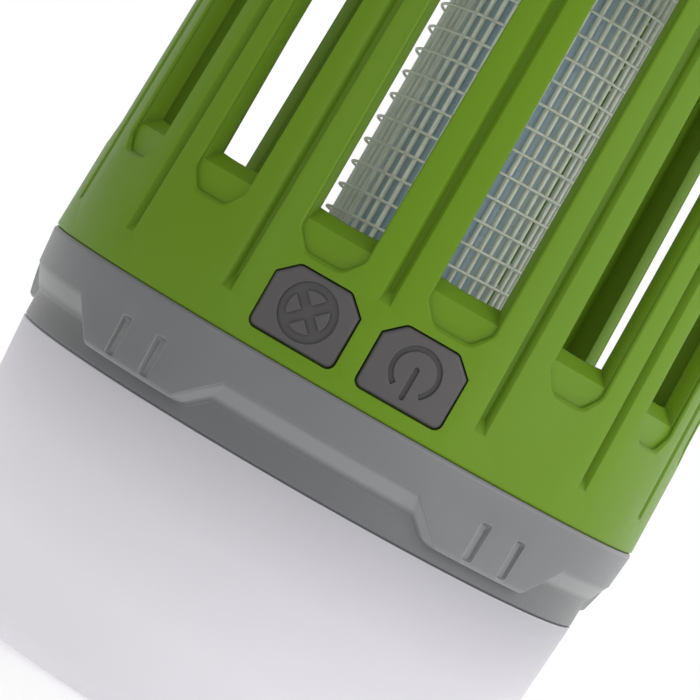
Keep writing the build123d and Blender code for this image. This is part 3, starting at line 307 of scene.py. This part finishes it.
def frosted_tube(name, middle, rim):
    """Frosted tube: bluish where it is seen face on, with a painted reflection of its surroundings greyer
    towards its rims, a slight haze, and painted emission that lifts its shaded parts.
    """
    shader = Shader(name)
    haze = shader.noise(per_mm=0.25, detail=4.0)
    # painted reflection: the colour turns to the rim colour where the tube is seen edge-on
    painted_rim_reflection = shader.span(shader.node("LayerWeight", Blend=0.5).outputs["Facing"], low=0.10, high=0.62)
    base = shader.mix(painted_rim_reflection, middle, rim)
    base = shader.mix(shader.spread(haze, out_high=0.25), base, lighter(middle, amount=0.2))
    return shader.principled(
        Base_Color=base,
        Roughness=shader.spread(haze, out_low=0.24, out_high=0.38),
        IOR=1.45,
        Transmission_Weight=0.12,
        # painted light: emission in the tube's own colour lifts the shade cast by the bars
        Emission_Color=middle,
        Emission_Strength=0.18,
    )


def soft_rubber(name, colour):
    """Matt elastomer with a dusty surface."""
    shader = Shader(name)
    dust = shader.noise(per_mm=1.2, detail=4.0)
    dusty = shader.span(dust, low=0.5, high=0.8, out_high=0.4)
    return shader.principled(
        Base_Color=shader.mix(dusty, colour, lighter(colour, amount=0.12)),
        Roughness=shader.spread(dust, out_low=0.6, out_high=0.8),
        Normal=shader.bump(strength=0.2, depth=0.05, height=shader.noise(per_mm=5.0)),
    )


def circuit_board(name, mask, traces):
    """Solder mask over copper: a net of slightly raised, lighter traces."""
    shader = Shader(name)
    cells = shader.node(
        "TexVoronoi", feature="DISTANCE_TO_EDGE", distance="MANHATTAN", Vector=shader.in_mm(), Scale=0.35
    )
    lines = shader.span(cells.outputs["Distance"], low=0.06, high=0.03)
    patches = shader.span(shader.noise(per_mm=0.3), low=0.4, high=0.7, out_high=0.2)
    base = shader.mix(lines, mask, traces)
    base = shader.mix(patches, base, darker(mask, factor=0.8))
    return shader.principled(
        Base_Color=base,
        Roughness=0.32,
        Normal=shader.bump(strength=0.3, depth=0.04, height=lines),
    )


def coated(name, colour, rough, metallic=0.0, mottle=0.1, per_mm=0.8):
    """Small parts: an even coat with cloudy colour, a varied sheen and painted highlights along edges."""
    shader = Shader(name)
    edges, rounded = shader.edge_mask(0.12 * MM)
    cloud = shader.noise(per_mm, detail=4.0)
    # painted highlight: edges are lightened in the base colour
    edge_highlight = shader.math("MULTIPLY", edges, 0.35)
    base = shader.mix(
        shader.spread(cloud), darker(colour, factor=1 - mottle), lighter(colour, amount=mottle / 3)
    )
    base = shader.mix(edge_highlight, base, lighter(colour, amount=0.25))
    return shader.principled(
        Base_Color=base,
        Metallic=metallic,
        Roughness=shader.spread(cloud, out_low=rough - 0.06, out_high=rough + 0.08),
        Normal=shader.bump(strength=0.15, depth=0.03, height=shader.noise(per_mm=4.0), normal=rounded),
    )


# ---------------------------------------------------------------- materials by part
GREEN = (0.105, 0.199, 0.010)
GREY = (0.152, 0.155, 0.159)
BUTTON_GREY = (0.082, 0.078, 0.080)
ENGRAVING = (43.58, 43.80, 0.22)  # distances of an engraving's floor and of a button's face from the axis
LOWER_BAND = (42.1, 42.5, 0.30)  # the recessed lower band of the collar, darkened with painted shade under the tabs
COLLAR_FLANKS = (42.5, 43.5, 0.16)  # the slopes between the band and the tabs' faces, lightened with a painted highlight as if lit from below

MATERIALS = {
    "green_shell": moulded_plastic("green_shell", GREEN, rough=0.40, edge=0.02, specular=0.13, painted_glow=0.12),
    "grey_shell": moulded_plastic("grey_shell", GREY, rough=0.40, edge=0.2, specular=0.3),
    "grey_button": moulded_plastic("grey_button", BUTTON_GREY, rough=0.48, grain=0.2, sunk=ENGRAVING),
    "frosted_lamp": frosted_diffuser("frosted_lamp"),
    "white_reflector": coated("white_reflector", (0.82, 0.82, 0.80), 0.45),
    "insulator": moulded_plastic("insulator", (0.60, 0.58, 0.50), rough=0.5),
    "grid_wire": wire_metal("grid_wire", (0.58, 0.63, 0.54), 0.45),
    "helix_wire": wire_metal("helix_wire", (0.58, 0.62, 0.53), 0.42),
    "tube": frosted_tube("tube", (0.165, 0.25, 0.295), (0.29, 0.32, 0.24)),
    "rubber_seal": soft_rubber("rubber_seal", (0.022, 0.022, 0.024)),
    "port_rubber": soft_rubber("port_rubber", (0.15, 0.152, 0.155)),
    "steel_screw": coated("steel_screw", (0.42, 0.43, 0.45), 0.34, metallic=1.0),
    "hook_steel": coated("hook_steel", (0.62, 0.63, 0.65), 0.24, metallic=1.0, per_mm=0.3),
    "inner_plastic": moulded_plastic("inner_plastic", (0.042, 0.045, 0.048), rough=0.55),
    "circuit_board": circuit_board("circuit_board", (0.012, 0.105, 0.034), (0.03, 0.19, 0.07)),
    "white_board": circuit_board("white_board", (0.80, 0.80, 0.76), (0.70, 0.68, 0.60)),
    "led": coated("led", (0.86, 0.74, 0.20), 0.3),
    "uv_led": coated("uv_led", (0.66, 0.68, 0.80), 0.2),
    "cell_wrap": coated("cell_wrap", (0.035, 0.09, 0.30), 0.28, per_mm=0.15),
    "nickel": coated("nickel", (0.62, 0.59, 0.52), 0.3, metallic=1.0),
    "ferrite": coated("ferrite", (0.050, 0.050, 0.055), 0.6),
    "coil_tape": coated("coil_tape", (0.56, 0.36, 0.045), 0.3),
    "capacitor": coated("capacitor", (0.34, 0.075, 0.028), 0.22),
    "chip": coated("chip", (0.014, 0.014, 0.016), 0.5),
    "switch_body": coated("switch_body", (0.016, 0.016, 0.018), 0.45),
    "switch_key": coated("switch_key", (0.40, 0.045, 0.035), 0.4),
    "socket_steel": coated("socket_steel", (0.66, 0.67, 0.68), 0.25, metallic=1.0),
    "wire_red": coated("wire_red", (0.40, 0.016, 0.014), 0.35),
    "wire_white": coated("wire_white", (0.68, 0.66, 0.62), 0.4),
}

COLLAR = moulded_plastic(
    "collar_shell",
    GREY,
    rough=0.38,
    edge=0.3,
    specular=0.35,
    soft_edge=0.4,
    sunk=LOWER_BAND,
    flank=COLLAR_FLANKS,
)

for part in frame["record"]["subparts"]:
    mesh = NODES[part["node"]].data
    mesh.materials.clear()
    mesh.materials.append(COLLAR if part["node"] == "collar_ring" else MATERIALS[part["material_slot"]])


# ---------------------------------------------------------------- rounded edges
EDGE_RADIUS = {  # millimetres
    "cage_housing": 0.35,
    "collar_ring": 0.35,
    "top_cap": 0.30,
    "port_cover": 0.20,
}
WELD_GAP = 0.001 * MM
FLAT_ANGLE = 0.01
SHARP_ANGLE = math.radians(25)


def round_edges(node, radius):
    """Soften a moulded piece's edges with modifiers that work inwards from its own faces."""
    weld = node.modifiers.new("weld", "WELD")
    weld.merge_threshold = WELD_GAP
    flat = node.modifiers.new("flat", "DECIMATE")
    flat.decimate_type = "DISSOLVE"
    flat.angle_limit = FLAT_ANGLE
    edges = node.modifiers.new("edges", "BEVEL")
    edges.width = radius * MM
    edges.segments = 3
    edges.limit_method = "ANGLE"
    edges.angle_limit = SHARP_ANGLE
    edges.miter_outer = "MITER_ARC"
    edges.use_clamp_overlap = True
    edges.harden_normals = False


for node_name, edge_radius in EDGE_RADIUS.items():
    round_edges(NODES[node_name], edge_radius)


# ---------------------------------------------------------------- studio
WHITE = (1.0, 1.0, 1.0)
FLOOR_HALF = 3.0
FLOOR_Z = -0.05 * MM  # just clear of the lamp's underside
FLOOR_FADE = (90.0, 200.0)  # millimetres from the axis, between which the floor fades into the tent


def studio_floor():
    """White seamless floor under the lamp, fading into the tent and open to a camera below it."""
    rim = [(x * FLOOR_HALF, y * FLOOR_HALF, FLOOR_Z) for x, y in ((-1, -1), (1, -1), (1, 1), (-1, 1))]
    mesh = bpy.data.meshes.new("studio_floor")
    mesh.from_pydata(rim, [], [(0, 1, 2, 3)])
    floor = bpy.data.objects.new("studio_floor", mesh)
    bpy.context.scene.collection.objects.link(floor)
    shader = Shader("floor_paper")
    fibre = shader.noise(0.4, detail=3.0)
    paper = shader.node(
        "BsdfPrincipled",
        **{
            "Base Color": shader.mix(fibre, (0.88, 0.88, 0.88), (0.92, 0.92, 0.92)),
            "Roughness": 0.8,
            "Emission Color": WHITE,
            "Emission Strength": 0.22,
        },
    )
    far = shader.span(shader.reach(), *FLOOR_FADE)
    below = shader.node("NewGeometry").outputs["Backfacing"]
    seen = shader.node("LightPath").outputs["Is Camera Ray"]
    clear = shader.math("MULTIPLY", shader.math("MAXIMUM", far, below), seen)
    fade = shader.either(clear, paper, shader.node("BsdfTransparent"))
    floor.data.materials.append(shader.surface(fade))


TENT_DIM = 0.385  # radiance of the tent in front
TENT_SLOPES = (  # axis, where the change starts and ends along it, radiance at the start and at the end
    ("Y", -0.5, 0.7, 0.0, 0.45),
    ("X", -0.9, -0.1, -0.44, 0.0),
    ("X", 0.1, 1.0, 0.0, 0.80),
    ("Z", -0.2, 0.9, 0.0, 0.25),
)


def light_tent():
    """White tent: plain white to the camera, uneven for what it lights."""
    world = bpy.data.worlds.new("tent")
    bpy.context.scene.world = world
    world.use_nodes = True
    tent = Wiring(world.node_tree)
    direction = tent.node("SeparateXYZ", Vector=tent.node("TexCoord").outputs["Generated"])
    strength = TENT_DIM
    for axis, low, high, at_low, at_high in TENT_SLOPES:
        share = tent.span(direction.outputs[axis], low, high, at_low, at_high)
        strength = tent.math("ADD", share, strength)
    lit = tent.node("Background", Color=WHITE, Strength=strength)
    plain = tent.node("Background", Color=WHITE)
    seen = tent.node("LightPath").outputs["Is Camera Ray"]
    tent.node("OutputWorld", Surface=tent.either(seen, lit, plain).outputs[0])


def softbox(name, place, target, width, height, power):
    """Rectangular area light aimed at a point."""
    data = bpy.data.lights.new(name, "AREA")
    data.shape = "RECTANGLE"
    data.size = width
    data.size_y = height
    data.energy = power
    lamp = bpy.data.objects.new(name, data)
    lamp.location = place
    lamp.rotation_euler = (Vector(target) - Vector(place)).to_track_quat("-Z", "Y").to_euler()
    bpy.context.scene.collection.objects.link(lamp)


# ---------------------------------------------------------------- camera
SENSOR = 36.0  # millimetres
CAMERA_LENS = 176.1  # millimetres
CAMERA_DISTANCE = 458.2 * MM
CAMERA_ABOVE_SEAM = 14.09 * MM
CAMERA_ORBIT = math.radians(1.25)
CAMERA_YAW = math.radians(0.236)
CAMERA_PITCH = math.radians(1.16)
CAMERA_ROLL = math.radians(29.9)


def photo_camera():
    """Level with the seam, a little off the buttons' plane, rolled so that the lamp is down and left."""
    data = bpy.data.cameras.new("photo_camera")
    data.sensor_width = SENSOR
    data.lens = CAMERA_LENS
    data.clip_start = 10 * MM
    camera = bpy.data.objects.new("photo_camera", data)
    level = Matrix(((1, 0, 0), (0, 0, -1), (0, 1, 0)))
    view = (
        Matrix.Rotation(CAMERA_ROLL, 3, "Z")
        @ Matrix.Rotation(CAMERA_PITCH, 3, "X")
        @ Matrix.Rotation(CAMERA_YAW, 3, "Y")
        @ level
    )
    orbit = Matrix.Rotation(CAMERA_ORBIT, 3, "Z")
    turned = orbit @ view.transposed() @ Matrix.Diagonal((1, -1, -1))
    place = orbit @ Vector((0, -CAMERA_DISTANCE, SEAM_Z + CAMERA_ABOVE_SEAM))
    camera.matrix_world = Matrix.Translation(place) @ turned.to_4x4()
    bpy.context.scene.collection.objects.link(camera)
    bpy.context.scene.camera = camera


MIDDLE = (0, 0, SEAM_Z)
studio_floor()
light_tent()
softbox("side_box", (0.85, -0.55, 0.32), MIDDLE, width=0.8, height=0.8, power=4.2)
softbox("strip_box", (-0.60, -0.66, 0.15), MIDDLE, width=0.10, height=0.8, power=1.5)
photo_camera()
bpy.context.scene.view_settings.view_transform = "Standard"
